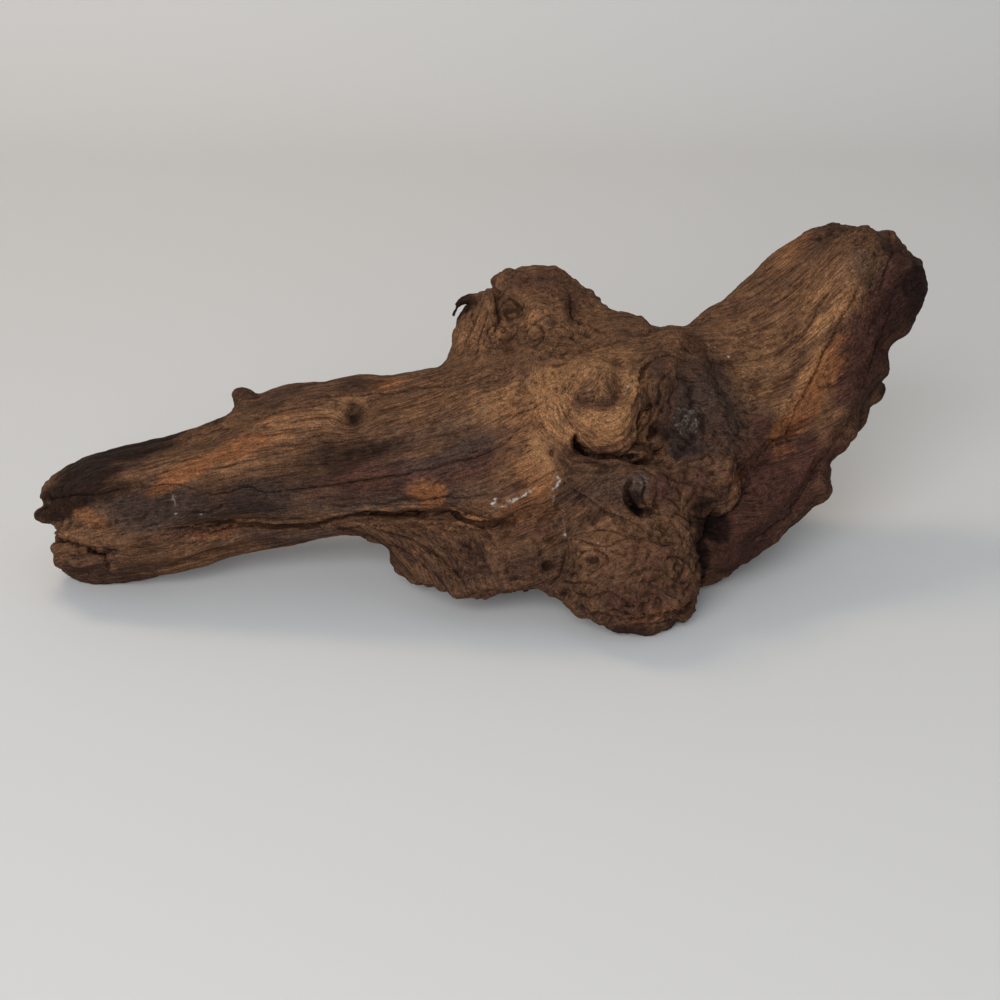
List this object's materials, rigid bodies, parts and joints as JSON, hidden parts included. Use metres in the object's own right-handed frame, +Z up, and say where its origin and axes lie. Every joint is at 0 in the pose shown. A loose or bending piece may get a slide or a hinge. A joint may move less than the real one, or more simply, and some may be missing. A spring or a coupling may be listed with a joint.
{
  "type": "driftwood root",
  "caption": "Gnarled piece of driftwood root: a long flat limb, a burled middle with a curled lip over a slit, and a raised limb.",
  "frame": {"origin": "bottom centre of the box round the piece, on the surface that it rests on", "axes": "+X along the piece, from the long flat limb's tip to the raised limb's end; -Y towards the side with the curled lip; +Z up"},
  "size_m": [0.3074, 0.1216, 0.1094],
  "materials": {
    "old_wood": "dry, weathered, fibrous, matte"
  },
  "bodies": {
    "root": {"driftwood_root": "old_wood"}
  },
  "joints": []
}
